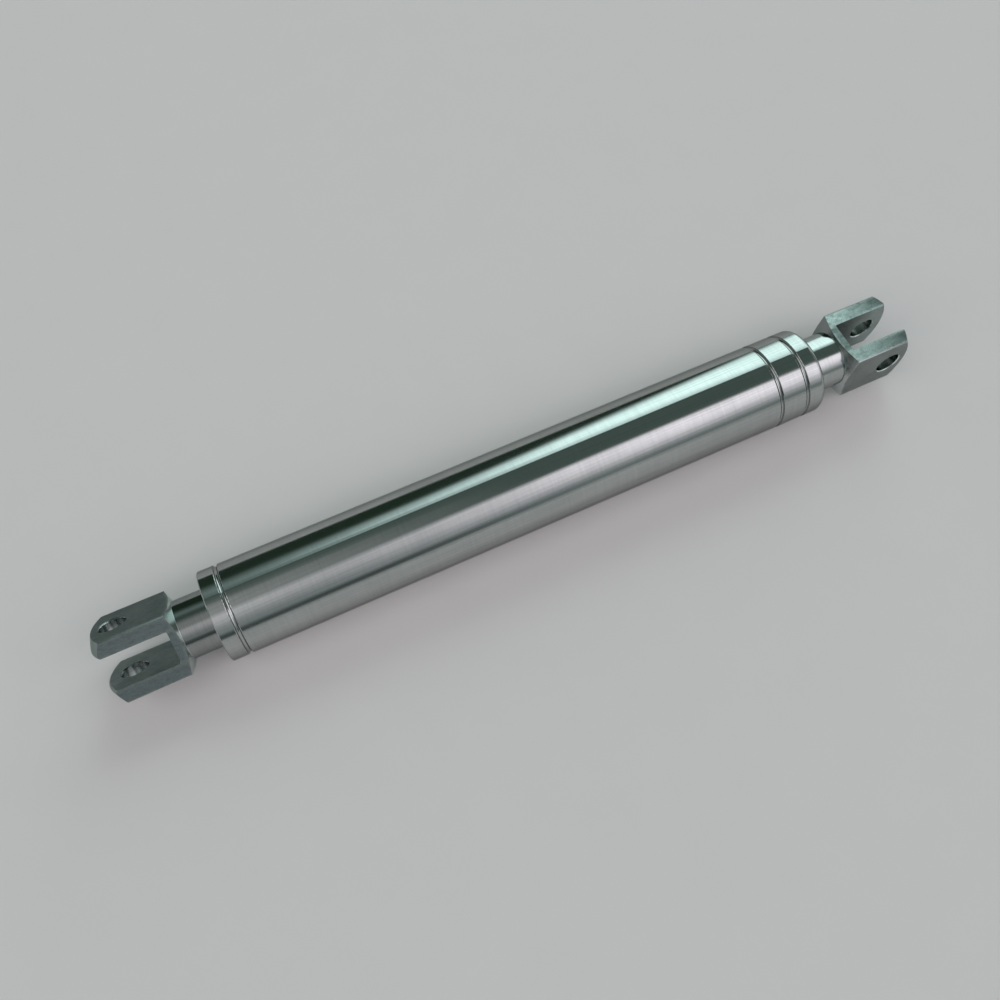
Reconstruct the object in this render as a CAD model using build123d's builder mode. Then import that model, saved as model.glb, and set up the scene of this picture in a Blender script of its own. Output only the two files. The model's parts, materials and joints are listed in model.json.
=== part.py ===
"""Tension gas spring with a fork at each end, drawn in, in millimetres.

+X runs along the spring from the closed end to the rod end, +Z is up, and the origin is the centre
of the closed end's pin hole. The gas sits on the rod's side of the piston and pulls the rod in.
"""
import os
from math import asin, cos, isclose, pi, radians, sin, sqrt, tan

from build123d import *

os.makedirs("parts", exist_ok=True)

# Cylinder tube
tube_length = 200.0
tube_outside = 28.0
tube_wall = 1.5
blind_groove_inset = 5.5  # middle of the rolled groove, from the tube's closed end
outer_groove_inset = 6.7  # the same for the two at the rod end, from that end
inner_groove_inset = 16.2
groove_depth = 0.6
groove_radius = 0.65  # of the roller that forms the groove
groove_shoulder = 0.25
rolled_edge_radius = 1.8
rolled_lip_reach = 4.0  # inward from the tube's outside
cut_edge = 0.25

# Forks, turned and milled from square bar
fork_square = 20.0
fork_edge = 0.35
fork_neck_diameter = 18.0
fork_neck_length = 9.6
fork_block_length = 25.4  # from the neck to the top of the turned tip
fork_base_angle = 70.0  # of the turned cone behind the block, from the axis
fork_tip_radius = 22.0
fork_slot = 10.5
fork_web = 2.9  # from the neck to the slot's bottom
fork_slot_fillet = 0.5
fork_mouth_fillet = 0.7
pin_hole = 8.0
pin_hole_chamfer = 0.3
pin_from_tip = 8.6
neck_chamfer = 0.4
tube_fork_roll = 45.0  # about the spring's axis, against the rod's fork

# Threads, as plain cylinders of their outer diameter
thread = 8.0
thread_engagement = 10.5
thread_chamfer = 0.8

# Closed end
plug_length = 14.5
plug_lead_in = 0.6
vent_hole = 2.0
filter_diameter = 6.0
filter_thickness = 2.5
plug_ring_land = 2.4  # metal between the ring's groove and the plug's inner end

# Piston rod
rod_diameter = 10.0
rod_gap = 1.2  # rod that shows between the tube and its fork when drawn in
rod_shoulder_chamfer = 0.4
rod_end_clearance = 1.5  # from the plug to the end of the rod
rod_end_proud = 1.2  # of the nut

# Piston
piston_length = 14.0
piston_slack = 0.3
piston_edge = 0.5
seal_groove_depth = 3.2
seal_groove_width = 4.0
band_groove_depth = 1.6
band_groove_width = 4.5
piston_land = 1.8  # metal at each end and between the grooves
band_cut = 0.8  # slanting gap in the split guide band
band_cut_angle = 30.0
seal_notch = 1.1
seal_notch_depth = 2.2
washer_diameter = 20.0
washer_thickness = 1.6
nut_across_flats = 13.0
nut_sides = 6
nut_height = 5.0
nut_corner_angle = 30.0

# Stop sleeve, which sets the stroke
stroke = 70.0
stop_gap = 0.3
sleeve_wall = 3.0
sleeve_port = 3.0
sleeve_port_count = 4
sleeve_edge = 0.4

# Rod guide and its seals
guide_length = 22.0
guide_lead_in = 0.6
guide_bore_slack = 0.3
bearing_wall = 1.5
bearing_length = 10.0
seal_section = 4.0  # from the rod to the seal's outside
seal_height = 5.0
seal_lip_notch = 2.2
seal_washer_rim = 1.0  # by which the washer is wider than the seal, all round
seal_washer_thickness = 1.5
seal_washer_slack = 0.5
guide_ring_land = 1.5  # from the rod seal's seat to the ring's groove
front_guide_gap = 0.05
felt_section = 3.0  # from the rod to the felt's outside
felt_height = 3.5
wiper_section = 3.5
wiper_height = 3.2
wiper_lip_height = 1.2
wiper_lip_wall = 0.8  # at the lip's root
wiper_lip_edge = 0.4  # at its end
wiper_lip_base = 1.6  # where it leaves the ring

# Rings and fits
o_ring_section = 2.4
o_ring_groove_ratio = 1.3
seat_clearance = 0.03  # between pieces that don't move on each other
running_clearance = 0.05
side_clearance = 0.1
same_place = 1e-4  # corners and edges nearer than this are the one meant

# What follows from these
tube_r = tube_outside / 2
bore_r = tube_r - tube_wall
rod_r = rod_diameter / 2
thread_r = thread / 2
neck_r = fork_neck_diameter / 2
half_square = fork_square / 2
lip_r = tube_r - rolled_lip_reach
groove_centre_r = tube_r - groove_depth + groove_radius
bulge_r = groove_radius + tube_wall
rolled_inner_radius = rolled_edge_radius - tube_wall

pin_to_neck = fork_block_length - pin_from_tip
fork_length = fork_neck_length + fork_block_length
tube_start = pin_to_neck + fork_neck_length
tube_end = tube_start + tube_length
rod_fork_start = tube_end + rod_gap
blind_groove = tube_start + blind_groove_inset
inner_groove = tube_end - inner_groove_inset
outer_groove = tube_end - outer_groove_inset

rod_tail = tube_start + plug_length + rod_end_clearance
nut_start = rod_tail + rod_end_proud
washer_start = nut_start + nut_height
piston_start = washer_start + washer_thickness
piston_end = piston_start + piston_length
seal_groove_start = piston_end - piston_land - seal_groove_width
band_groove_start = seal_groove_start - piston_land - band_groove_width

front_guide_end = tube_end - tube_wall
guide_joint = (inner_groove + outer_groove) / 2
guide_start = guide_joint - guide_length
seal_seat = guide_start + seal_washer_thickness + seal_height
sleeve_end = guide_start - stop_gap - stroke

o_ring_groove = o_ring_section * o_ring_groove_ratio
o_ring_bottom_r = bore_r - o_ring_section - 2 * seat_clearance
plug_ring_start = tube_start + plug_length - plug_ring_land - o_ring_groove
guide_ring_start = seal_seat + guide_ring_land


def half_section(x_from, x_to, r_from, r_to):
    """Adds the half section of a turned ring to the sketch in hand."""
    with Locations(((x_from + x_to) / 2, (r_from + r_to) / 2)):
        Rectangle(x_to - x_from, r_to - r_from)


def cut_section(x_from, x_to, r_from, r_to):
    """Takes the half section of a turned groove out of the sketch in hand."""
    with Locations(((x_from + x_to) / 2, (r_from + r_to) / 2)):
        Rectangle(x_to - x_from, r_to - r_from, mode=Mode.SUBTRACT)


def corners_at(sketch, *places):
    """The sketch's corners at the places given."""
    found = []
    for corner in sketch.vertices():
        for x, y in places:
            if isclose(corner.X, x, abs_tol=same_place) and isclose(corner.Y, y, abs_tol=same_place):
                found.append(corner)
    return found


def finish(builder, name):
    """Names a piece and writes it."""
    builder.part.label = name
    export_step(builder.part, f"parts/{name}.step")


# Cylinder tube: one wall, rolled inward at its grooves and over the guide at the rod end
with BuildPart() as cylinder_tube:
    with BuildSketch(Plane.XZ) as tube_wall_section:
        half_section(tube_start, tube_end, bore_r, tube_r)
        half_section(tube_end - tube_wall, tube_end, lip_r, tube_r)
        with Locations(*[(x, groove_centre_r) for x in (blind_groove, inner_groove, outer_groove)]):
            Circle(bulge_r)
        cut_section(tube_start, tube_end, tube_r, groove_centre_r + bulge_r)
        with Locations(*[(x, groove_centre_r) for x in (blind_groove, inner_groove, outer_groove)]):
            Circle(groove_radius, mode=Mode.SUBTRACT)
        groove_reach = sqrt(groove_radius**2 - (groove_centre_r - tube_r) ** 2)
        shoulders = [
            (x + side * groove_reach, tube_r)
            for x in (blind_groove, inner_groove, outer_groove)
            for side in (-1, 1)
        ]
        fillet(corners_at(tube_wall_section, *shoulders), radius=groove_shoulder)
        fillet(corners_at(tube_wall_section, (tube_end, tube_r)), radius=rolled_edge_radius)
        fillet(
            corners_at(tube_wall_section, (tube_end - tube_wall, bore_r)),
            radius=rolled_inner_radius,
        )
        chamfer(corners_at(tube_wall_section, (tube_end, lip_r), (tube_start, tube_r)), length=cut_edge)
    revolve(axis=Axis.X)
finish(cylinder_tube, "cylinder_tube")

# End plug: held by the rolled groove, with the stud for the fork and a vent for the air side
with BuildPart() as end_plug:
    with BuildSketch(Plane.XZ) as plug_section:
        half_section(tube_start, tube_start + plug_length, 0, bore_r - seat_clearance)
        half_section(tube_start - thread_engagement, tube_start, 0, thread_r)
        cut_section(plug_ring_start, plug_ring_start + o_ring_groove, o_ring_bottom_r, bore_r)
        with Locations((blind_groove, groove_centre_r)):
            Circle(bulge_r + seat_clearance, mode=Mode.SUBTRACT)
        chamfer(corners_at(plug_section, (tube_start - thread_engagement, thread_r)), length=thread_chamfer)
        chamfer(
            corners_at(plug_section, (tube_start + plug_length, bore_r - seat_clearance)),
            length=plug_lead_in,
        )
        cut_section(tube_start - thread_engagement, tube_start + plug_length, 0, vent_hole / 2)
        cut_section(
            tube_start + plug_length - filter_thickness - side_clearance,
            tube_start + plug_length,
            0,
            filter_diameter / 2,
        )
    revolve(axis=Axis.X)
finish(end_plug, "end_plug")

# Sintered filter in the plug's vent
with BuildPart() as vent_filter:
    with BuildSketch(Plane.YZ.offset(tube_start + plug_length - filter_thickness)):
        Circle(filter_diameter / 2 - seat_clearance)
    extrude(amount=filter_thickness)
    chamfer(vent_filter.edges().filter_by(GeomType.CIRCLE), length=cut_edge)
finish(vent_filter, "vent_filter")


def o_ring(groove_start):
    """A round ring in an outside groove, between its bottom and the tube's bore."""
    with BuildPart() as ring:
        with BuildSketch(Plane.XZ):
            ring_middle_r = o_ring_bottom_r + seat_clearance + o_ring_section / 2
            with Locations((groove_start + o_ring_groove / 2, ring_middle_r)):
                Circle(o_ring_section / 2)
        revolve(axis=Axis.X)
    return ring


plug_o_ring = o_ring(plug_ring_start)
finish(plug_o_ring, "plug_o_ring")

guide_o_ring = o_ring(guide_ring_start)
finish(guide_o_ring, "guide_o_ring")


def fork():
    """A fork along +X from its neck's end, with its pin along Y."""
    corner_r = half_square * sqrt(2)
    base_length = (corner_r - neck_r) / tan(radians(fork_base_angle))
    tip_centre = fork_length - fork_tip_radius
    tip_edge = tip_centre + sqrt(fork_tip_radius**2 - corner_r**2)
    tip_middle = asin(corner_r / fork_tip_radius) / 2
    with BuildPart() as piece:
        # Square bar with its edges broken
        with BuildSketch(Plane.YZ) as bar:
            Rectangle(fork_square, fork_square)
            chamfer(bar.vertices(), length=fork_edge)
        extrude(amount=fork_length)
        # Turned neck, base cone and tip
        with BuildSketch(Plane.XZ):
            with BuildLine():
                Polyline(
                    (fork_length, 0),
                    (0, 0),
                    (0, neck_r - neck_chamfer),
                    (neck_chamfer, neck_r),
                    (fork_neck_length, neck_r),
                    (fork_neck_length + base_length, corner_r),
                    (tip_edge, corner_r),
                )
                ThreePointArc(
                    (tip_edge, corner_r),
                    (tip_centre + fork_tip_radius * cos(tip_middle), fork_tip_radius * sin(tip_middle)),
                    (fork_length, 0),
                )
            make_face()
        revolve(axis=Axis.X, mode=Mode.INTERSECT)
        # Slot between the prongs
        with BuildSketch(Plane.XY) as slot:
            slot_bottom = fork_neck_length + fork_web
            with Locations(((slot_bottom + fork_length + half_square) / 2, 0)):
                Rectangle(fork_length + half_square - slot_bottom, fork_slot)
            fillet(slot.vertices().group_by(Axis.X)[0], radius=fork_slot_fillet)
        extrude(amount=fork_square, both=True, mode=Mode.SUBTRACT)
        mouth = piece.edges().filter_by(GeomType.CIRCLE).filter_by(
            lambda e: isclose(abs(e.center(CenterOf.MASS).Y), fork_slot / 2, abs_tol=same_place)
        )
        fillet(mouth.group_by(Axis.X)[-1], radius=fork_mouth_fillet)
        # Pin hole through both prongs
        with BuildSketch(Plane.XZ):
            with Locations((fork_length - pin_from_tip, 0)):
                Circle(pin_hole / 2)
        extrude(amount=fork_square, both=True, mode=Mode.SUBTRACT)
        rims = piece.edges().filter_by(GeomType.CIRCLE).filter_by(
            lambda e: isclose(e.radius, pin_hole / 2, abs_tol=same_place)
        )
        chamfer(rims, length=pin_hole_chamfer)
        # Threaded hole, open to the slot
        with BuildSketch(Plane.YZ):
            Circle(thread_r + seat_clearance)
        extrude(amount=slot_bottom, mode=Mode.SUBTRACT)
    return piece.part


with BuildPart() as tube_fork:
    with Locations(Location((tube_start, 0, 0), (tube_fork_roll, 0, 0)) * Location((0, 0, 0), (0, 0, 180))):
        add(fork())
finish(tube_fork, "tube_fork")

with BuildPart() as rod_fork:
    with Locations((rod_fork_start, 0, 0)):
        add(fork())
finish(rod_fork, "rod_fork")

# Piston rod: threaded for the fork at one end and for the piston's nut at the other
with BuildPart() as piston_rod:
    with BuildSketch(Plane.XZ) as rod_section:
        half_section(piston_end, rod_fork_start, 0, rod_r)
        half_section(rod_tail, piston_end, 0, thread_r)
        half_section(rod_fork_start, rod_fork_start + thread_engagement, 0, thread_r)
        chamfer(
            corners_at(rod_section, (rod_tail, thread_r), (rod_fork_start + thread_engagement, thread_r)),
            length=thread_chamfer,
        )
        chamfer(
            corners_at(rod_section, (piston_end, rod_r), (rod_fork_start, rod_r)),
            length=rod_shoulder_chamfer,
        )
    revolve(axis=Axis.X)
finish(piston_rod, "piston_rod")

# Piston, clear of the bore: its seal and its band run there
piston_r = bore_r - piston_slack
with BuildPart() as piston:
    with BuildSketch(Plane.XZ) as piston_section:
        half_section(piston_start, piston_end, thread_r + seat_clearance, piston_r)
        chamfer(
            corners_at(piston_section, (piston_start, piston_r), (piston_end, piston_r)),
            length=piston_edge,
        )
        cut_section(
            seal_groove_start, seal_groove_start + seal_groove_width, bore_r - seal_groove_depth, piston_r
        )
        cut_section(
            band_groove_start, band_groove_start + band_groove_width, bore_r - band_groove_depth, piston_r
        )
    revolve(axis=Axis.X)
finish(piston, "piston")

# Lip seal on the piston, its notch towards the gas
with BuildPart() as piston_seal:
    seal_inner_r = bore_r - seal_groove_depth + running_clearance
    seal_outer_r = bore_r - running_clearance
    seal_left = seal_groove_start + side_clearance
    seal_right = seal_groove_start + seal_groove_width - side_clearance
    with BuildSketch(Plane.XZ):
        half_section(seal_left, seal_right, seal_inner_r, seal_outer_r)
        with BuildLine():
            seal_middle_r = (seal_inner_r + seal_outer_r) / 2
            Polyline(
                (seal_right, seal_middle_r - seal_notch / 2),
                (seal_right, seal_middle_r + seal_notch / 2),
                (seal_right - seal_notch_depth, seal_middle_r),
                close=True,
            )
        make_face(mode=Mode.SUBTRACT)
    revolve(axis=Axis.X)
finish(piston_seal, "piston_seal")

# Split guide band on the piston
with BuildPart() as piston_guide_band:
    band_left = band_groove_start + side_clearance
    band_right = band_groove_start + band_groove_width - side_clearance
    band_inner_r = bore_r - band_groove_depth + running_clearance
    with BuildSketch(Plane.XZ):
        half_section(band_left, band_right, band_inner_r, bore_r - running_clearance)
    revolve(axis=Axis.X)
    with BuildSketch():
        with Locations(Location(((band_left + band_right) / 2, 0, 0), (0, 0, band_cut_angle))):
            Rectangle(band_cut, tube_r)
    extrude(amount=-tube_outside, mode=Mode.SUBTRACT)
finish(piston_guide_band, "piston_guide_band")

# Washer and nut that hold the piston against the rod's shoulder
with BuildPart() as piston_washer:
    with BuildSketch(Plane.YZ.offset(washer_start)):
        Circle(washer_diameter / 2)
        Circle(thread_r + seat_clearance, mode=Mode.SUBTRACT)
    extrude(amount=washer_thickness)
    outer_rims = piston_washer.edges().filter_by(GeomType.CIRCLE).sort_by(SortBy.RADIUS)[-2:]
    chamfer(outer_rims, length=cut_edge)
finish(piston_washer, "piston_washer")

with BuildPart() as piston_nut:
    with BuildSketch(Plane.YZ.offset(nut_start)):
        RegularPolygon(radius=nut_across_flats / 2, side_count=nut_sides, major_radius=False)
        Circle(thread_r + seat_clearance, mode=Mode.SUBTRACT)
    extrude(amount=nut_height)
    with BuildSketch(Plane.XZ):
        nut_face_r = nut_across_flats / 2
        nut_corner_r = nut_face_r / cos(pi / nut_sides)
        corner_run = (nut_corner_r - nut_face_r) * tan(radians(nut_corner_angle))
        with BuildLine():
            Polyline(
                (nut_start, 0),
                (nut_start, nut_face_r),
                (nut_start + corner_run, nut_corner_r),
                (nut_start + nut_height, nut_corner_r),
                (nut_start + nut_height, 0),
                close=True,
            )
        make_face()
    revolve(axis=Axis.X, mode=Mode.INTERSECT)
finish(piston_nut, "piston_nut")

# Stop sleeve on the rod: the gas keeps its room around it when the rod is out
sleeve_r = rod_r + seat_clearance + sleeve_wall
with BuildPart() as stop_sleeve:
    with BuildSketch(Plane.XZ) as sleeve_section:
        half_section(piston_end, sleeve_end, rod_r + seat_clearance, sleeve_r)
        chamfer(
            corners_at(sleeve_section, (piston_end, sleeve_r), (sleeve_end, sleeve_r)),
            length=sleeve_edge,
        )
    revolve(axis=Axis.X)
    sleeve_middle = Plane(origin=((piston_end + sleeve_end) / 2, 0, 0), x_dir=(1, 0, 0), z_dir=(0, 0, 1))
    with BuildSketch(sleeve_middle):
        with GridLocations((sleeve_end - piston_end) / sleeve_port_count, sleeve_port, sleeve_port_count, 1):
            Circle(sleeve_port / 2)
    extrude(amount=sleeve_r, both=True, mode=Mode.SUBTRACT)
finish(stop_sleeve, "stop_sleeve")

# Rod guide: held by the inner of the two rolled grooves, and sealed to the tube
seal_r = rod_r + seal_section
seal_washer_r = seal_r + seal_washer_rim
bearing_r = rod_r + running_clearance + bearing_wall
bearing_end = seal_seat + bearing_length
with BuildPart() as rod_guide:
    with BuildSketch(Plane.XZ) as guide_section:
        half_section(guide_start, guide_joint, rod_r + guide_bore_slack, bore_r - seat_clearance)
        chamfer(corners_at(guide_section, (guide_start, bore_r - seat_clearance)), length=guide_lead_in)
        cut_section(guide_ring_start, guide_ring_start + o_ring_groove, o_ring_bottom_r, bore_r)
        with Locations((inner_groove, groove_centre_r)):
            Circle(bulge_r + seat_clearance, mode=Mode.SUBTRACT)
        cut_section(guide_start, guide_start + seal_washer_thickness, rod_r, seal_washer_r + seat_clearance)
        cut_section(guide_start, seal_seat, rod_r, seal_r + seat_clearance)
        cut_section(seal_seat, bearing_end + seat_clearance, rod_r, bearing_r + seat_clearance)
    revolve(axis=Axis.X)
finish(rod_guide, "rod_guide")

# Bearing sleeve that carries the rod
with BuildPart() as rod_bearing:
    with BuildSketch(Plane.XZ) as bearing_section:
        half_section(seal_seat, bearing_end, rod_r + running_clearance, bearing_r)
        chamfer(
            corners_at(bearing_section, (seal_seat, bearing_r), (bearing_end, bearing_r)),
            length=cut_edge,
        )
    revolve(axis=Axis.X)
finish(rod_bearing, "rod_bearing")

# Lip seal on the rod, its notch towards the gas
with BuildPart() as rod_seal:
    lip_left = guide_start + seal_washer_thickness + side_clearance
    with BuildSketch(Plane.XZ):
        half_section(lip_left, seal_seat, rod_r + running_clearance, seal_r)
        with BuildLine():
            lip_middle_r = (rod_r + seal_r) / 2
            Polyline(
                (lip_left, lip_middle_r - seal_lip_notch / 2),
                (lip_left, lip_middle_r + seal_lip_notch / 2),
                (lip_left + seal_lip_notch, lip_middle_r),
                close=True,
            )
        make_face(mode=Mode.SUBTRACT)
    revolve(axis=Axis.X)
finish(rod_seal, "rod_seal")

# Washer that keeps the rod seal in its seat
with BuildPart() as seal_washer:
    with BuildSketch(Plane.YZ.offset(guide_start)):
        Circle(seal_washer_r)
        Circle(rod_r + seal_washer_slack, mode=Mode.SUBTRACT)
    extrude(amount=seal_washer_thickness)
finish(seal_washer, "seal_washer")

# Front guide: held by the outer rolled groove and by the tube's rolled edge
felt_r = rod_r + felt_section
wiper_r = rod_r + wiper_section
front_guide_start = guide_joint + front_guide_gap
felt_end = front_guide_start + felt_height
wiper_start = front_guide_end - wiper_height
with BuildPart() as front_guide:
    with BuildSketch(Plane.XZ) as front_section:
        half_section(front_guide_start, front_guide_end, rod_r + guide_bore_slack, bore_r - seat_clearance)
        with Locations((outer_groove, groove_centre_r)):
            Circle(bulge_r + seat_clearance, mode=Mode.SUBTRACT)
        chamfer(corners_at(front_section, (front_guide_start, bore_r - seat_clearance)), length=cut_edge)
        fillet(
            corners_at(front_section, (front_guide_end, bore_r - seat_clearance)),
            radius=rolled_inner_radius,
        )
        cut_section(front_guide_start, felt_end, rod_r, felt_r + seat_clearance)
        cut_section(wiper_start, front_guide_end, rod_r, wiper_r + seat_clearance)
    revolve(axis=Axis.X)
finish(front_guide, "front_guide")

# Greased felt ring behind the wiper
with BuildPart() as grease_felt:
    with BuildSketch(Plane.XZ):
        half_section(front_guide_start, felt_end, rod_r + running_clearance, felt_r)
    revolve(axis=Axis.X)
finish(grease_felt, "grease_felt")

# Wiper: its lip stands out of the front guide on the rod
with BuildPart() as wiper_ring:
    with BuildSketch(Plane.XZ):
        with BuildLine():
            Polyline(
                (wiper_start, rod_r + running_clearance + wiper_lip_wall),
                (wiper_start, wiper_r),
                (front_guide_end, wiper_r),
                (front_guide_end, rod_r + running_clearance + wiper_lip_base),
                (front_guide_end + wiper_lip_height, rod_r + running_clearance + wiper_lip_edge),
                (front_guide_end + wiper_lip_height, rod_r + running_clearance),
                (front_guide_end, rod_r + running_clearance),
                close=True,
            )
        make_face()
    revolve(axis=Axis.X)
finish(wiper_ring, "wiper_ring")
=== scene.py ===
"""Looks of the tension gas spring: metal and rubber finishes, a pale floor, studio light and the camera."""

import json
from math import cos, radians, sin

import bpy
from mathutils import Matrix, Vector


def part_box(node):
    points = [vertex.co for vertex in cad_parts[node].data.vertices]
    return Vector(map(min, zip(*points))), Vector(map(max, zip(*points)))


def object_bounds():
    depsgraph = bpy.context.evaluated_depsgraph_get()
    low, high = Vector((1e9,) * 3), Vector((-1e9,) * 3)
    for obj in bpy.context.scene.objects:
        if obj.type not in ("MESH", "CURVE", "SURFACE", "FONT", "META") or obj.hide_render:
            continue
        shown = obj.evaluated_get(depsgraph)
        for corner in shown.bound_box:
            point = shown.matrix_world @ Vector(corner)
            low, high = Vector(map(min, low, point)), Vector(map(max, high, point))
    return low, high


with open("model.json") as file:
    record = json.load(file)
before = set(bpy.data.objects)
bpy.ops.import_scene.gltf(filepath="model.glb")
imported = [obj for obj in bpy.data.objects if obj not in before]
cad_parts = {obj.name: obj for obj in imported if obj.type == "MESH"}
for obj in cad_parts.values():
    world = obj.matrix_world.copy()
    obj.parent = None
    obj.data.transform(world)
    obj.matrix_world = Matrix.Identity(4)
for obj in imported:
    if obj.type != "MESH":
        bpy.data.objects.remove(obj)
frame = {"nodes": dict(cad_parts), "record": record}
cad_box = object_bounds()
nodes = frame["nodes"]

AXIS = (1.0, 0.0, 0.0)

# Camera, fitted to the photograph: square pixels, level, no shift. Its limits are in metres.
CAMERA_PLACE = Vector((0.05998, -0.12291, 0.27605))
CAMERA_AIM = Vector((0.18637, 0.39665, -0.89885))
LENS = 36.0
SENSOR = 36.0
CAMERA_NEAR = 0.005
CAMERA_FAR = 50.0

# Middles of the grooves, in metres from the closed end and from the rod's end, and how far painted shade
# darkens them, 0 to 1
BLIND_GROOVE = 0.0055
BLIND_GROOVE_SHADE = 0.3
ROD_GROOVES = (0.0067, 0.0162)
ROD_GROOVES_SHADE = 0.85
GROOVE_REACH = 0.0009

# Shape of the forks, in metres and radians. The slope is that of the cone behind the block.
TUBE_FORK_ROLL = radians(45)
ROD_FORK_ROLL = 0.0
NECK_LENGTH = 0.0096
NECK_RADIUS = 0.009
BASE_SLOPE = 2.75
HALF_SQUARE = 0.010
HALF_SLOT = 0.00525
PIN_BORE_RADIUS = 0.004
PIN_RIM_RADIUS = 0.0043
EDGE = 0.0001

# Where the tone of a fork changes, in metres: off the pin's axis, off the middle of the slot, along
# the pin, and past the neck
BORE_LIMITS = (PIN_BORE_RADIUS * 1.02, PIN_BORE_RADIUS * 1.01)
RIM_LIMITS = (PIN_RIM_RADIUS + EDGE, PIN_RIM_RADIUS)
WEB_LIMITS = (HALF_SLOT + 10 * EDGE, HALF_SLOT - 10 * EDGE)
SLOT_LIMITS = (HALF_SLOT + 2 * EDGE, HALF_SLOT + EDGE)
# FRONT_LIMITS mark the rod fork's near prong, whose turned surfaces are painted lighter
FRONT_LIMITS = (0.001, -0.006)
# TIPWARD is where the tube fork's painted cone highlight fades and the rod fork's cut sides darken;
# DEEP_TIPWARD is where the painted shade deep in the rod fork's slot lightens
TIPWARD = (0.004, 0.022)
DEEP_TIPWARD = (0.009, 0.018)

# Where a fork is worn: off its middle, from the slot's edge and from the arc where the cone ends
CORNER_WEAR = (HALF_SQUARE * 0.90, HALF_SQUARE * 0.98)
SLOT_WEAR = (0.0009, 0.0001)
SLOT_WEAR_OUTWARD = (HALF_SQUARE * 0.94, HALF_SQUARE * 0.99)
ARC_WEAR = (0.0022, 0.0006)
WEAR_AMOUNT = 0.7

# How squarely a surface faces a direction where it begins to count as facing it, and where it does
FLAT_FACING = (0.95, 0.99)
GROOVE_WALL_FACING = (0.3, 0.7)

# Noises: waves a metre along the spring's axis and across it both ways, detail and roughness
TUBE_LINES = ((9.0, 1900.0, 1900.0), 4.0, 0.65)
TUBE_CROSS_LINES = ((1300.0, 45.0, 45.0), 3.0, 0.6)
TUBE_CLOUD = ((60.0, 120.0, 120.0), 4.0, 0.6)
FORK_MOTTLE = ((420.0, 640.0, 640.0), 6.0, 0.70)
FORK_GRAIN = ((900.0, 900.0, 900.0), 5.0, 0.7)
FORK_CLOUD = ((110.0, 160.0, 160.0), 4.0, 0.6)
FORK_RINGS = ((2400.0, 60.0, 60.0), 3.0, 0.6)
BORE_LINES = ((650.0, 650.0, 650.0), 2.0, 0.5)
FLOOR_GRAIN = ((60.0, 60.0, 60.0), 4.0, 0.55)
TURNED_WAVES_ACROSS = 40.0

# Shares of the lines, cross lines and clouds in the tube's tone, of the grain and clouds in the forks'
TUBE_SHARES = (0.5, 0.2, 0.3)
FORK_SHARES = (0.45, 0.55)

# Values of a noise between which a tone or a roughness changes
EVEN_RANGE = (0.38, 0.62)
GRAIN_RANGE = (0.35, 0.65)
MOTTLE_RANGE = (0.36, 0.64)
WEAR_RANGE = (0.38, 0.6)
BORE_RANGE = (0.42, 0.58)
RING_TONE_RANGE = (0.1, 0.9)
RING_ROUGH_RANGE = (0.3, 0.7)

# Roughness at the low and the high end of that range
TUBE_ROUGH = (0.17, 0.09)
EVEN_ROUGH = (0.42, 0.32)
MOTTLE_ROUGH = (0.42, 0.24)
RING_ROUGH = (0.15, 0.12)
BLOCK_ROUGH = 0.22
FLOOR_ROUGH = 0.8

# Depth of the bumps, in metres. The even flats have a share of the mottle's depth.
LINE_DEPTH = 1.4e-6
CROSS_LINE_DEPTH = 1.1e-6
RING_DEPTH = 0.13e-6
MOTTLE_DEPTH = 4.5e-5
EVEN_DEPTH_SHARE = 0.15
FLOOR_DEPTH = 1.0e-5

# Colours of the pieces, linear
STEEL_LIGHT = (0.495, 0.51, 0.505)
STEEL_DARK = (0.40, 0.42, 0.415)
CHROME = (0.62, 0.64, 0.65)
ALUMINIUM_LIGHT = (0.70, 0.70, 0.71)
ALUMINIUM_DARK = (0.58, 0.58, 0.59)
BRONZE_LIGHT = (0.62, 0.46, 0.28)
BRONZE_DARK = (0.40, 0.29, 0.17)
RUBBER_LIGHT = (0.035, 0.035, 0.036)
RUBBER_DARK = (0.018, 0.018, 0.019)
PLASTIC_LIGHT = (0.15, 0.13, 0.11)
PLASTIC_DARK = (0.09, 0.08, 0.07)
FELT_LIGHT = (0.50, 0.45, 0.36)
FELT_DARK = (0.34, 0.30, 0.22)
# Painted shade on the steep walls of the tube's grooves
GROOVE_PAINTED_SHADE = (0.17, 0.185, 0.18)
TUBE_GRAZING = (0.45, 0.47, 0.45, 1.0)
FORK_GRAZING = (0.50, 0.57, 0.55, 1.0)
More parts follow.
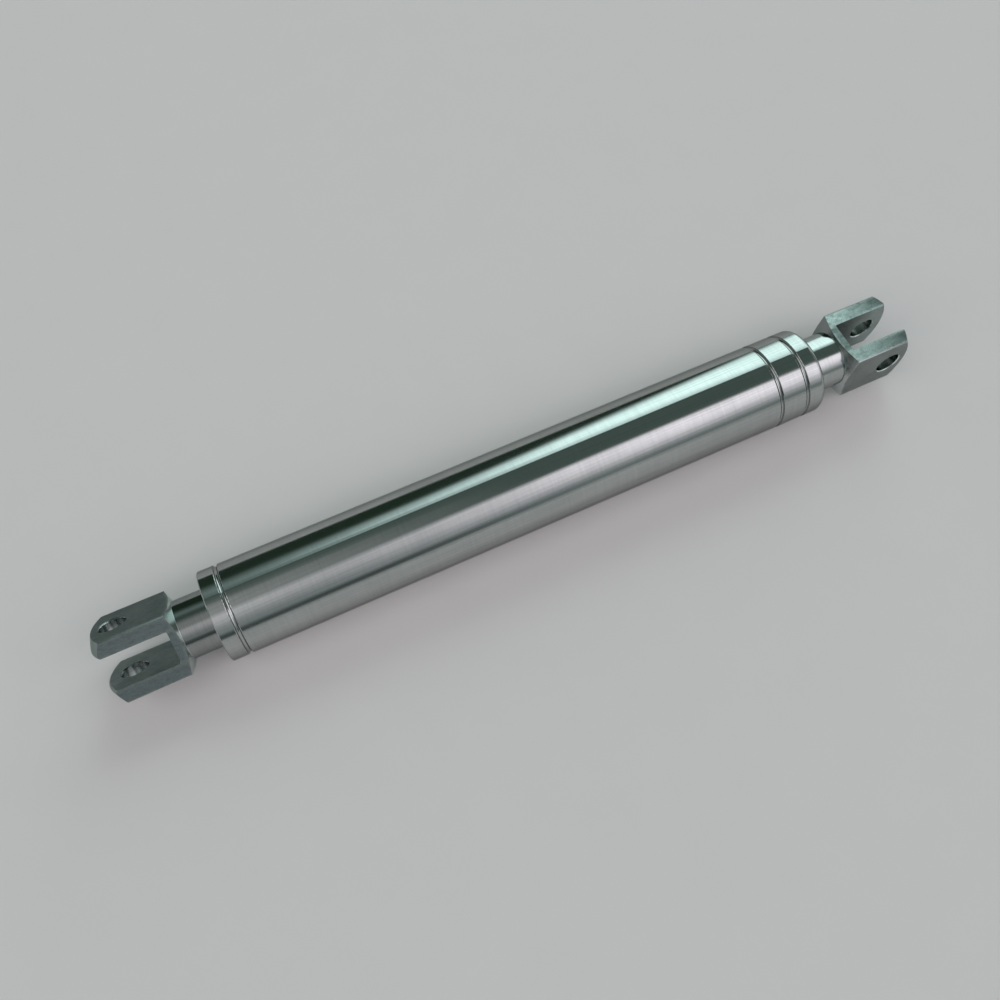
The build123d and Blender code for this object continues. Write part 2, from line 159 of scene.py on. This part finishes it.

# Tones of the forks: the cut sides, the sides with the hole and their inner faces, the turned surfaces. A
# pair is the dark and the light tone, and mottle is the range of the cut sides' noise between them. Both
# forks are one finish, and their tones hold painted light and shade: the tube fork's neck, sides, cut sides
# and worn edges are painted darker and the rod fork's lighter, the slot's inner faces carry painted shade on
# the rod fork and are painted lighter on the tube fork, the block's turned surfaces carry a painted
# highlight on the tube fork's cone and painted light on the rod fork's near prong, the rim of the bore
# carries a painted highlight on the rod fork and painted shade on the tube fork, and the rod fork's bore is
# painted darker.
TUBE_FORK = {
    # The tube fork: its neck, sides and cut sides are painted darker than the rod fork's
    "neck": ((0.28, 0.295, 0.29), (0.36, 0.37, 0.365)),
    "cut": ((0.185, 0.215, 0.215), (0.31, 0.355, 0.355)),
    "side": ((0.14, 0.162, 0.157), (0.195, 0.218, 0.212)),
    # inner faces of the slot painted lighter than the sides
    "inner": ((0.19, 0.22, 0.213), (0.264, 0.295, 0.287)),
    "worn_and_lit": (0.40, 0.43, 0.42),
    # a painted highlight on the cone behind the block, fading to block_tip towards the tip
    "block": (0.86, 0.92, 0.91),
    "block_tip": (0.36, 0.39, 0.38),
    # painted shade on the rim of the bore
    "rim": (0.16, 0.18, 0.175),
    "bore": ((0.23, 0.26, 0.25), (0.55, 0.58, 0.57)),
    "mottle": (0.36, 0.64),
}
ROD_FORK = {
    # The rod fork: its neck, sides and cut sides are painted lighter than the tube fork's
    "neck": (STEEL_DARK, STEEL_LIGHT),
    "cut": ((0.36, 0.44, 0.43), (0.86, 0.96, 0.94)),
    "cut_tip": ((0.09, 0.115, 0.11), (0.21, 0.24, 0.235)),
    "web": ((0.17, 0.21, 0.205), (0.42, 0.48, 0.47)),
    "side": ((0.265, 0.28, 0.275), (0.37, 0.38, 0.375)),
    # painted shade on the slot's inner faces, lightening to inner_tip towards the tip
    "inner": ((0.185, 0.20, 0.195), (0.26, 0.27, 0.265)),
    "inner_tip": ((0.36, 0.40, 0.39), (0.50, 0.54, 0.53)),
    "worn_and_lit": (0.72, 0.79, 0.77),
    "block": (0.27, 0.30, 0.295),
    # painted light on the turned surfaces of the near prong
    "block_front": (0.68, 0.73, 0.72),
    "block_tip": (0.29, 0.32, 0.315),
    # a painted highlight on the rim of the bore
    "rim": (0.92, 0.98, 0.96),
    # the inside of the bore painted darker, as shade
    "bore": ((0.03, 0.036, 0.035), (0.30, 0.33, 0.32)),
    "mottle": (0.35, 0.65),
}

# The floor: its grain is lighter than its colour by this factor
FLOOR_SIZE = 60.0
FLOOR_COLOUR = (0.77, 0.735, 0.74)
FLOOR_GRAIN_LIGHT = 1.03

# The studio. Angles are in degrees in the plane across the spring, from the horizon before it, over the
# top, to the one behind it. BOX, GLOW, GAP and STRIP have two edges and the soft widths outside them;
# RISE, FALL, TURN and BEFORE have the two angles of a change. ALONG and UP have two values of the
# direction's part along the axis or upward, and the strengths there if they aren't 0 and 1. The back
# box leans by LEAN times the part along the axis beyond LEAN_FROM, raised to LEAN_POWER.
BACK_BOX_RISE = (114, 129)
BACK_BOX_FALL = (125, 148)
BACK_BOX_ALONG = (-0.1, 0.36, 0.1, 1.0)
BACK_BOX_TINT = (1.52, 1.92, 1.87)
LEAN_FROM = 0.1
LEAN_POWER = 1.5
LEAN = 152
FRONT_BOX = (57, 64.5, 50, 9)
FRONT_BOX_ALONG = (-0.05, 0.45, 0.2, 1.0)
FRONT_BOX_TINT = (1.55, 1.41, 1.51)
LONG_BOXES_ALONG = (0.55, 0.8, 1.0, 0.3)
GLOW = (62, 86, 30, 24)
GLOW_ALONG = (-0.12, 0.2, 1.0, 0.0)
GLOW_TINT = (0.34, 0.32, 0.33)
CLOSED_END_BOX = (68, 92, 32, 20)
CLOSED_END_ALONG = (-0.3, -0.55, 0.0, 2.2)
ROD_END_GAP = (80, 108, 15, 10)
ROD_END_GAP_LEVEL = 0.25
ROD_END_ALONG = (0.58, 0.8, 0.0, 0.5)
END_BOXES_UP = (0.08, 0.3)
END_BOXES_TINT = (0.95, 0.92, 0.90)
ROOM_TURN = (25, 75)
ROOM_BEFORE = (0.21, 0.25, 0.25)
ROOM_OVERHEAD = (0.09, 0.13, 0.115)
BEHIND_TURN = (128, 150)
BEHIND_ALONG = (-0.35, -0.5)
DARK_BEHIND = (0.022, 0.042, 0.028)
STRIP = (9, 15, 5, 6)
STRIP_ALONG = (0.30, 0.05)
STRIP_AMOUNT = 0.75
STRIP_COLOUR = (0.03, 0.04, 0.035)
HORIZON_BEFORE = (8, 4)
HORIZON_UP = (0.045, 0.03)
HORIZON_COLOUR = (0.40, 0.43, 0.42)
BLACK = (0.0, 0.0, 0.0)


class Graph:
    """A material's or the world's node tree, with a short call for each kind of node used here."""

    def __init__(self, owner):
        owner.use_nodes = True
        self.tree = owner.node_tree
        self.tree.nodes.clear()

    def node(self, kind, **settings):
        made = self.tree.nodes.new(kind)
        for name, value in settings.items():
            setattr(made, name, value)
        return made

    def put(self, socket, value):
        """Gives a socket a value, or links it."""
        if isinstance(value, bpy.types.NodeSocket):
            self.tree.links.new(value, socket)
        else:
            socket.default_value = value

    def math(self, operation, first, second=0.0):
        made = self.node("ShaderNodeMath", operation=operation)
        self.put(made.inputs[0], first)
        self.put(made.inputs[1], second)
        return made.outputs[0]

    def apart(self, first, second):
        """How far apart two numbers are."""
        return self.math("ABSOLUTE", self.math("SUBTRACT", first, second))

    def distance(self, first, second):
        """The distance that two offsets at right angles make."""
        squares = [self.math("POWER", offset, 2.0) for offset in (first, second)]
        return self.math("SQRT", self.math("ADD", *squares))

    def mixture(self, values, shares):
        """The sum of the values, each times its share."""
        total, *others = [self.math("MULTIPLY", value, share) for value, share in zip(values, shares)]
        for other in others:
            total = self.math("ADD", total, other)
        return total

    def without(self, mask):
        return self.math("SUBTRACT", 1.0, mask)

    def span(self, value, low, high, to_low=0.0, to_high=1.0, smooth=False):
        """Maps low to high onto another range, held at its ends."""
        made = self.node("ShaderNodeMapRange", clamp=True)
        if smooth:
            made.interpolation_type = "SMOOTHSTEP"
        for socket, number in zip(made.inputs, (value, low, high, to_low, to_high)):
            self.put(socket, number)
        return made.outputs["Result"]

    def between(self, factor, first, second):
        """A number between two others."""
        return self.span(factor, 0.0, 1.0, first, second)

    def vector(self, operation, first, second, output="Vector"):
        made = self.node("ShaderNodeVectorMath", operation=operation)
        self.put(made.inputs[0], first)
        self.put(made.inputs[1], second)
        return made.outputs[output]

    def parts(self, vector):
        made = self.node("ShaderNodeSeparateXYZ")
        self.put(made.inputs[0], vector)
        return made.outputs

    def dot(self, vector, direction):
        return self.vector("DOT_PRODUCT", vector, direction, "Value")

    def across(self, point, direction):
        """The point without its part along a direction: what is drawn from it runs as lines that way."""
        return self.vector("SUBTRACT", point, self.vector("PROJECT", point, direction))

    def place(self):
        """The point on the piece in its own rest frame, in metres: it moves with the piece."""
        return self.node("ShaderNodeTexCoord").outputs["Object"]

    def facing(self, direction):
        """How squarely the surface faces along a direction of the piece, either way: 0 to 1."""
        normal = self.node("ShaderNodeTexCoord").outputs["Normal"]
        return self.math("ABSOLUTE", self.dot(normal, direction))

    def noise(self, point, waves, detail, roughness):
        """Noise from 0 to 1 with that many waves a metre along each axis."""
        scaled = self.vector("MULTIPLY", point, waves)
        made = self.node("ShaderNodeTexNoise")
        self.put(made.inputs["Vector"], scaled)
        self.put(made.inputs["Scale"], 1.0)
        self.put(made.inputs["Detail"], detail)
        self.put(made.inputs["Roughness"], roughness)
        return made.outputs["Fac"]

    def colour(self, factor, first, second, blend_type="MIX"):
        made = self.node("ShaderNodeMix", data_type="RGBA", blend_type=blend_type)
        self.put(made.inputs["Factor"], factor)
        self.put(made.inputs["A"], (*first, 1.0) if isinstance(first, tuple) else first)
        self.put(made.inputs["B"], (*second, 1.0) if isinstance(second, tuple) else second)
        return made.outputs["Result"]

    def bump(self, height, depth, normal=None):
        """A normal from a height of 0 to 1 that stands for that depth in metres."""
        made = self.node("ShaderNodeBump")
        self.put(made.inputs["Strength"], 1.0)
        self.put(made.inputs["Distance"], depth)
        self.put(made.inputs["Height"], height)
        if normal is not None:
            self.put(made.inputs["Normal"], normal)
        return made.outputs["Normal"]

    def surface(self, colour, roughness, normal, **constants):
        made = self.node("ShaderNodeBsdfPrincipled")
        self.put(made.inputs["Base Color"], colour)
        self.put(made.inputs["Roughness"], roughness)
        self.put(made.inputs["Normal"], normal)
        for name, value in constants.items():
            self.put(made.inputs[name.replace("_", " ")], value)
        out = self.node("ShaderNodeOutputMaterial")
        self.tree.links.new(made.outputs[0], out.inputs["Surface"])


def material(name):
    made = bpy.data.materials.new(name)
    return made, Graph(made)


def drawn_steel(tube_box):
    """The tube: fine lines along it, faint cross lines from polishing, soft stains, painted shade in its
    grooves.
    """
    made, g = material("drawn_steel")
    point = g.place()
    lines = g.noise(point, *TUBE_LINES)
    cross = g.noise(point, *TUBE_CROSS_LINES)
    cloud = g.noise(point, *TUBE_CLOUD)
    tone = g.mixture((lines, cross, cloud), TUBE_SHARES)
    colour = g.colour(g.span(tone, *EVEN_RANGE), STEEL_DARK, STEEL_LIGHT)

    along = g.parts(point)[0]
    grooves = [(tube_box[0][0] + BLIND_GROOVE, BLIND_GROOVE_SHADE)]
    grooves += [(tube_box[1][0] - inset, ROD_GROOVES_SHADE) for inset in ROD_GROOVES]
    grooved = 0.0
    for middle, amount in grooves:
        off = g.apart(along, middle)
        grooved = g.math("MAXIMUM", g.span(off, GROOVE_REACH + EDGE, GROOVE_REACH, 0.0, amount), grooved)
    # Painted shade: the grooves' steep walls are darkened, most in the grooves by the rod's end
    groove_shade = g.math("MULTIPLY", grooved, g.span(g.facing(AXIS), *GROOVE_WALL_FACING))
    colour = g.colour(groove_shade, colour, GROOVE_PAINTED_SHADE)

    rough = g.span(tone, *EVEN_RANGE, *TUBE_ROUGH)
    normal = g.bump(lines, LINE_DEPTH)
    normal = g.bump(cross, CROSS_LINE_DEPTH, normal)
    g.surface(colour, rough, normal, Metallic=1.0, Specular_Tint=TUBE_GRAZING)
    return made


def fork_steel(name, roll, pin_x, neck_x, way, tones):
    """A fork: polished where turned, mottled on its cut sides, even on those with the hole, worn at edges.

    The block begins at neck_x and lies on the side given by way, 1 or -1 along the axis. Its tones carry
    painted light and shade as well as the finish.
    """
    made, g = material(name)
    point = g.place()
    pin_way = (0.0, cos(roll), sin(roll))
    cut_way = (0.0, -sin(roll), cos(roll))
    mottle = g.noise(point, *FORK_MOTTLE)
    grain = g.noise(point, *FORK_GRAIN)
    cloud = g.noise(point, *FORK_CLOUD)
    rings = g.noise(point, *FORK_RINGS)
    bore_lines = g.noise(g.across(point, pin_way), *BORE_LINES)
    even = g.mixture((grain, cloud), FORK_SHARES)

    # Where the surface is: on the block's cut sides or on its other flats, in the pin's bore, or turned
    along = g.parts(point)[0]
    off_cut = g.math("ABSOLUTE", g.dot(point, cut_way))
    off_pin = g.math("ABSOLUTE", g.dot(point, pin_way))
    from_neck = g.math("MULTIPLY", g.math("SUBTRACT", along, neck_x), way)
    from_pin = g.distance(g.apart(along, pin_x), off_cut)
    on_block = g.span(from_neck, -EDGE, 0.0)
    cut = g.math("MULTIPLY", g.span(g.facing(cut_way), *FLAT_FACING), on_block)
    side = g.math("MULTIPLY", g.span(g.facing(pin_way), *FLAT_FACING), on_block)
    bore = g.span(from_pin, *BORE_LIMITS)
    rim = g.math("MULTIPLY", g.span(from_pin, *RIM_LIMITS), g.without(bore))
    flat = g.math("MULTIPLY", g.math("MAXIMUM", cut, side), g.without(bore))
    web = g.span(off_pin, *WEB_LIMITS)
    inner = g.span(off_pin, *SLOT_LIMITS)
    front = g.span(g.dot(point, pin_way), *FRONT_LIMITS)
    tipward = g.span(from_neck, *TIPWARD)
    deep_tipward = g.span(from_neck, *DEEP_TIPWARD)

    # Worn along the block's edges, the slot's, and the arc where the cone behind the block ends. The worn
    # tone is painted lighter on the rod fork.
    corner = g.span(g.math("MINIMUM", off_cut, off_pin), *CORNER_WEAR)
    slot_edge = g.span(g.apart(off_pin, HALF_SLOT), *SLOT_WEAR)
    slot_edge = g.math("MULTIPLY", slot_edge, g.span(off_cut, *SLOT_WEAR_OUTWARD))
    cone = g.math("ADD", g.math("MULTIPLY", from_neck, BASE_SLOPE), NECK_RADIUS)
    arc = g.span(g.math("SUBTRACT", cone, g.distance(off_cut, off_pin)), *ARC_WEAR)
    arc = g.math("MULTIPLY", arc, on_block)
    worn_and_lit = g.math("MAXIMUM", g.math("MAXIMUM", corner, slot_edge), arc)
    worn_and_lit = g.math("MULTIPLY", g.math("MULTIPLY", worn_and_lit, g.span(mottle, *WEAR_RANGE)), WEAR_AMOUNT)

    def fading(factor, blend, first, second):
        """A pair of tones that changes into a second pair, where the fork has one."""
        other = tones.get(second, tones[first])
        return g.colour(blend, g.colour(factor, *tones[first]), g.colour(factor, *other))

    spots = g.span(mottle, *tones["mottle"])
    cut_colour = g.colour(web, fading(spots, tipward, "cut", "cut_tip"), fading(spots, web, "cut", "web"))
    even_light = g.span(even, *EVEN_RANGE)
    # The slot's inner faces: painted shade on the rod fork, darkest deep in the slot, and painted lighter on
    # the tube fork
    inner_colour = fading(even_light, deep_tipward, "inner", "inner_tip")
    side_colour = g.colour(inner, g.colour(even_light, *tones["side"]), inner_colour)
    flat_colour = g.colour(worn_and_lit, g.colour(cut, side_colour, cut_colour), tones["worn_and_lit"])
    neck_colour = g.colour(g.span(rings, *RING_TONE_RANGE), *tones["neck"])
    # The block's turned surfaces: a painted highlight on the tube fork's cone, painted light on the rod
    # fork's near prong
    block_colour = g.colour(front, tones["block"], tones.get("block_front", tones["block"]))
    block_colour = g.colour(tipward, block_colour, tones["block_tip"])
    # The rim of the bore: a painted highlight on the rod fork, painted shade on the tube fork
    turned_colour = g.colour(rim, g.colour(on_block, neck_colour, block_colour), tones["rim"])
    bore_colour = g.colour(g.span(bore_lines, *BORE_RANGE), *tones["bore"])
    turned_colour = g.colour(bore, turned_colour, bore_colour)
    colour = g.colour(flat, turned_colour, flat_colour)

    even_rough = g.span(even, *EVEN_RANGE, *EVEN_ROUGH)
    flat_rough = g.between(cut, even_rough, g.span(mottle, *MOTTLE_RANGE, *MOTTLE_ROUGH))
    turned_rough = g.between(on_block, g.span(rings, *RING_ROUGH_RANGE, *RING_ROUGH), BLOCK_ROUGH)
    rough = g.between(flat, turned_rough, flat_rough)

    turned = g.math("MULTIPLY", g.between(bore, rings, bore_lines), g.without(flat))
    milled = g.math("MULTIPLY", g.between(cut, grain, mottle), flat)
    milled = g.math("MULTIPLY", milled, g.between(cut, EVEN_DEPTH_SHARE, 1.0))
    normal = g.bump(milled, MOTTLE_DEPTH, g.bump(turned, RING_DEPTH))
    g.surface(colour, rough, normal, Metallic=1.0, Specular_Tint=FORK_GRAZING)
    return made


def turned_metal(name, light, dark, smoothest, roughest, waves=2200.0, depth=2.0e-6):
    """A turned piece: rings about the spring's axis."""
    made, g = material(name)
    counts = (waves, TURNED_WAVES_ACROSS, TURNED_WAVES_ACROSS)
    rings = g.noise(g.place(), counts, detail=4.0, roughness=0.6)
    colour = g.colour(g.span(rings, *GRAIN_RANGE), dark, light)
    rough = g.span(rings, *GRAIN_RANGE, roughest, smoothest)
    g.surface(colour, rough, g.bump(rings, depth), Metallic=1.0)
    return made


def grained(name, light, dark, smoothest, roughest, waves, depth, **constants):
    """Rubber, plastic, felt or sintered bronze: an even grain."""
    made, g = material(name)
    grain = g.noise(g.place(), (waves, waves, waves), detail=5.0, roughness=0.65)
    colour = g.colour(g.span(grain, *GRAIN_RANGE), dark, light)
    rough = g.span(grain, *GRAIN_RANGE, roughest, smoothest)
    g.surface(colour, rough, g.bump(grain, depth), **constants)
    return made


def dress(finish, *names):
    """Gives CAD nodes their finish."""
    for name in names:
        mesh = nodes[name].data
        mesh.materials.clear()
        mesh.materials.append(finish)


def dress_all():
    """Gives every CAD node its finish."""
    dress(drawn_steel(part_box("cylinder_tube")), "cylinder_tube")
    tube_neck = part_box("tube_fork")[1][0] - NECK_LENGTH
    rod_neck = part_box("rod_fork")[0][0] + NECK_LENGTH
    pins = {mount["name"]: mount["pos_m"][0] for mount in frame["record"]["mounts"]}
    dress(
        fork_steel("fork_steel_tube", TUBE_FORK_ROLL, pins["tube_fork_pin"], tube_neck, -1.0, TUBE_FORK),
        "tube_fork",
    )
    dress(
        fork_steel("fork_steel_rod", ROD_FORK_ROLL, pins["rod_fork_pin"], rod_neck, 1.0, ROD_FORK),
        "rod_fork",
    )
    dress(
        turned_metal(
            "ground_chrome", CHROME, CHROME, smoothest=0.05, roughest=0.09,
            waves=3000.0, depth=0.3e-6,
        ),
        "piston_rod",
    )
    dress(
        turned_metal("turned_steel", STEEL_LIGHT, STEEL_DARK, smoothest=0.26, roughest=0.36),
        "end_plug", "seal_washer", "piston_washer", "piston_nut",
    )
    dress(
        turned_metal("turned_aluminium", ALUMINIUM_LIGHT, ALUMINIUM_DARK, smoothest=0.25, roughest=0.35),
        "rod_guide", "front_guide", "piston", "stop_sleeve",
    )
    dress(
        turned_metal("dry_bearing", BRONZE_LIGHT, BRONZE_DARK, smoothest=0.35, roughest=0.5),
        "rod_bearing",
    )
    dress(
        grained(
            "sintered_bronze", BRONZE_LIGHT, BRONZE_DARK, smoothest=0.5, roughest=0.7,
            waves=4000.0, depth=3.0e-5, Metallic=1.0,
        ),
        "vent_filter",
    )
    dress(
        grained(
            "black_rubber", RUBBER_LIGHT, RUBBER_DARK, smoothest=0.45, roughest=0.65,
            waves=1800.0, depth=4.0e-6,
        ),
        "plug_o_ring", "guide_o_ring", "rod_seal", "wiper_ring", "piston_seal",
    )
    dress(
        grained(
            "slide_plastic", PLASTIC_LIGHT, PLASTIC_DARK, smoothest=0.4, roughest=0.55,
            waves=1500.0, depth=3.0e-6,
        ),
        "piston_guide_band",
    )
    dress(
        grained(
            "greased_felt", FELT_LIGHT, FELT_DARK, smoothest=0.8, roughest=0.95,
            waves=2500.0, depth=8.0e-5,
        ),
        "grease_felt",
    )


def make_floor():
    """A plain pale floor under the lowest point of the spring."""
    low = cad_box[0][2]
    half = FLOOR_SIZE / 2
    mesh = bpy.data.meshes.new("floor")
    corners = [(x, y, low) for x, y in ((-half, -half), (half, -half), (half, half), (-half, half))]
    mesh.from_pydata(corners, [], [(0, 1, 2, 3)])
    floor = bpy.data.objects.new("floor", mesh)
    bpy.context.scene.collection.objects.link(floor)
    made, g = material("pale_floor")
    grain = g.noise(g.place(), *FLOOR_GRAIN)
    paler = tuple(c * FLOOR_GRAIN_LIGHT for c in FLOOR_COLOUR)
    g.surface(g.colour(grain, FLOOR_COLOUR, paler), FLOOR_ROUGH, g.bump(grain, FLOOR_DEPTH))
    mesh.materials.append(made)


def make_world():
    """Studio light: a long soft box behind the spring, a wide one before it, and dark between them.

    Both are brighter towards the rod's end, and all of it is drawn on the sky's directions.
    """
    world = bpy.data.worlds.new("studio")
    bpy.context.scene.world = world
    g = Graph(world)
    along, across, up = g.parts(g.node("ShaderNodeTexCoord").outputs["Generated"])
    angle = g.math("ARCTAN2", up, g.math("MULTIPLY", across, -1.0))

    def turning(value, low, high, *strengths, smooth=True):
        """A change over an angle, with its limits in degrees."""
        return g.span(value, radians(low), radians(high), *strengths, smooth=smooth)

    def ridge(low, high, soft_low, soft_high):
        """1 from one angle to another, falling to 0 over the soft widths outside them."""
        rise = turning(angle, low - soft_low, low)
        fall = turning(angle, high, high + soft_high, 1.0, 0.0)
        return g.math("MULTIPLY", rise, fall)

    # The box behind, whose upper edge rises towards the rod's end
    lean = g.math("POWER", g.math("MAXIMUM", g.math("SUBTRACT", along, LEAN_FROM), 0.0), LEAN_POWER)
    upright = g.math("SUBTRACT", angle, g.math("MULTIPLY", lean, radians(LEAN)))
    back = g.math("MULTIPLY", turning(angle, *BACK_BOX_RISE), turning(upright, *BACK_BOX_FALL, 1.0, 0.0))
    back = g.math("MULTIPLY", back, g.span(along, *BACK_BOX_ALONG, smooth=True))
    # The box before it, sharp at its top and fading downward
    front = g.math("MULTIPLY", ridge(*FRONT_BOX), g.span(along, *FRONT_BOX_ALONG, smooth=True))
    # Both are dimmer past the rod's end
    faded = g.span(along, *LONG_BOXES_ALONG, smooth=True)
    back = g.math("MULTIPLY", back, faded)
    front = g.math("MULTIPLY", front, faded)
    # A faint glow overhead at the closed end
    glow = g.math("MULTIPLY", ridge(*GLOW), g.span(along, *GLOW_ALONG))
    # Two wide boxes beyond the ends light the floor, the one at the rod's end dimmer and dim overhead
    closed_end = g.math("MULTIPLY", g.span(along, *CLOSED_END_ALONG, smooth=True), ridge(*CLOSED_END_BOX))
    rod_end = g.span(along, *ROD_END_ALONG, smooth=True)
    rod_end = g.math("MULTIPLY", rod_end, g.between(ridge(*ROD_END_GAP), 1.0, ROD_END_GAP_LEVEL))
    ends = g.math("ADD", closed_end, rod_end)
    ends = g.math("MULTIPLY", ends, g.span(up, *END_BOXES_UP, smooth=True))
    # The room round them, dark behind the spring and pale past its closed end
    room = g.colour(turning(angle, *ROOM_TURN, smooth=False), ROOM_BEFORE, ROOM_OVERHEAD)
    behind = g.colour(g.span(along, *BEHIND_ALONG, smooth=True), DARK_BEHIND, HORIZON_COLOUR)
    room = g.colour(turning(angle, *BEHIND_TURN, smooth=False), room, behind)

    light = g.colour(back, BLACK, BACK_BOX_TINT)
    for level, tint in ((front, FRONT_BOX_TINT), (glow, GLOW_TINT), (ends, END_BOXES_TINT)):
        light = g.colour(1.0, light, g.colour(level, BLACK, tint), "ADD")
    light = g.colour(1.0, light, room, "ADD")
    # A dark strip low before the closed end
    strip = g.math("MULTIPLY", ridge(*STRIP), g.span(along, *STRIP_ALONG, smooth=True))
    light = g.colour(g.math("MULTIPLY", strip, STRIP_AMOUNT), light, STRIP_COLOUR)
    # A pale line along the horizon, wider before the spring
    horizon = g.math("MAXIMUM", turning(angle, *HORIZON_BEFORE), g.span(up, *HORIZON_UP))
    light = g.colour(horizon, light, HORIZON_COLOUR)

    shine = g.node("ShaderNodeBackground")
    g.put(shine.inputs["Color"], light)
    g.put(shine.inputs["Strength"], 1.0)
    out = g.node("ShaderNodeOutputWorld")
    g.tree.links.new(shine.outputs[0], out.inputs["Surface"])


def make_camera():
    data = bpy.data.cameras.new("camera")
    data.sensor_width = SENSOR
    data.lens = LENS
    data.clip_start = CAMERA_NEAR
    data.clip_end = CAMERA_FAR
    camera = bpy.data.objects.new("camera", data)
    camera.location = CAMERA_PLACE
    camera.rotation_euler = CAMERA_AIM.to_track_quat("-Z", "Y").to_euler()
    bpy.context.scene.collection.objects.link(camera)
    bpy.context.scene.camera = camera


dress_all()
make_floor()
make_world()
make_camera()
bpy.context.scene.view_settings.view_transform = "Standard"
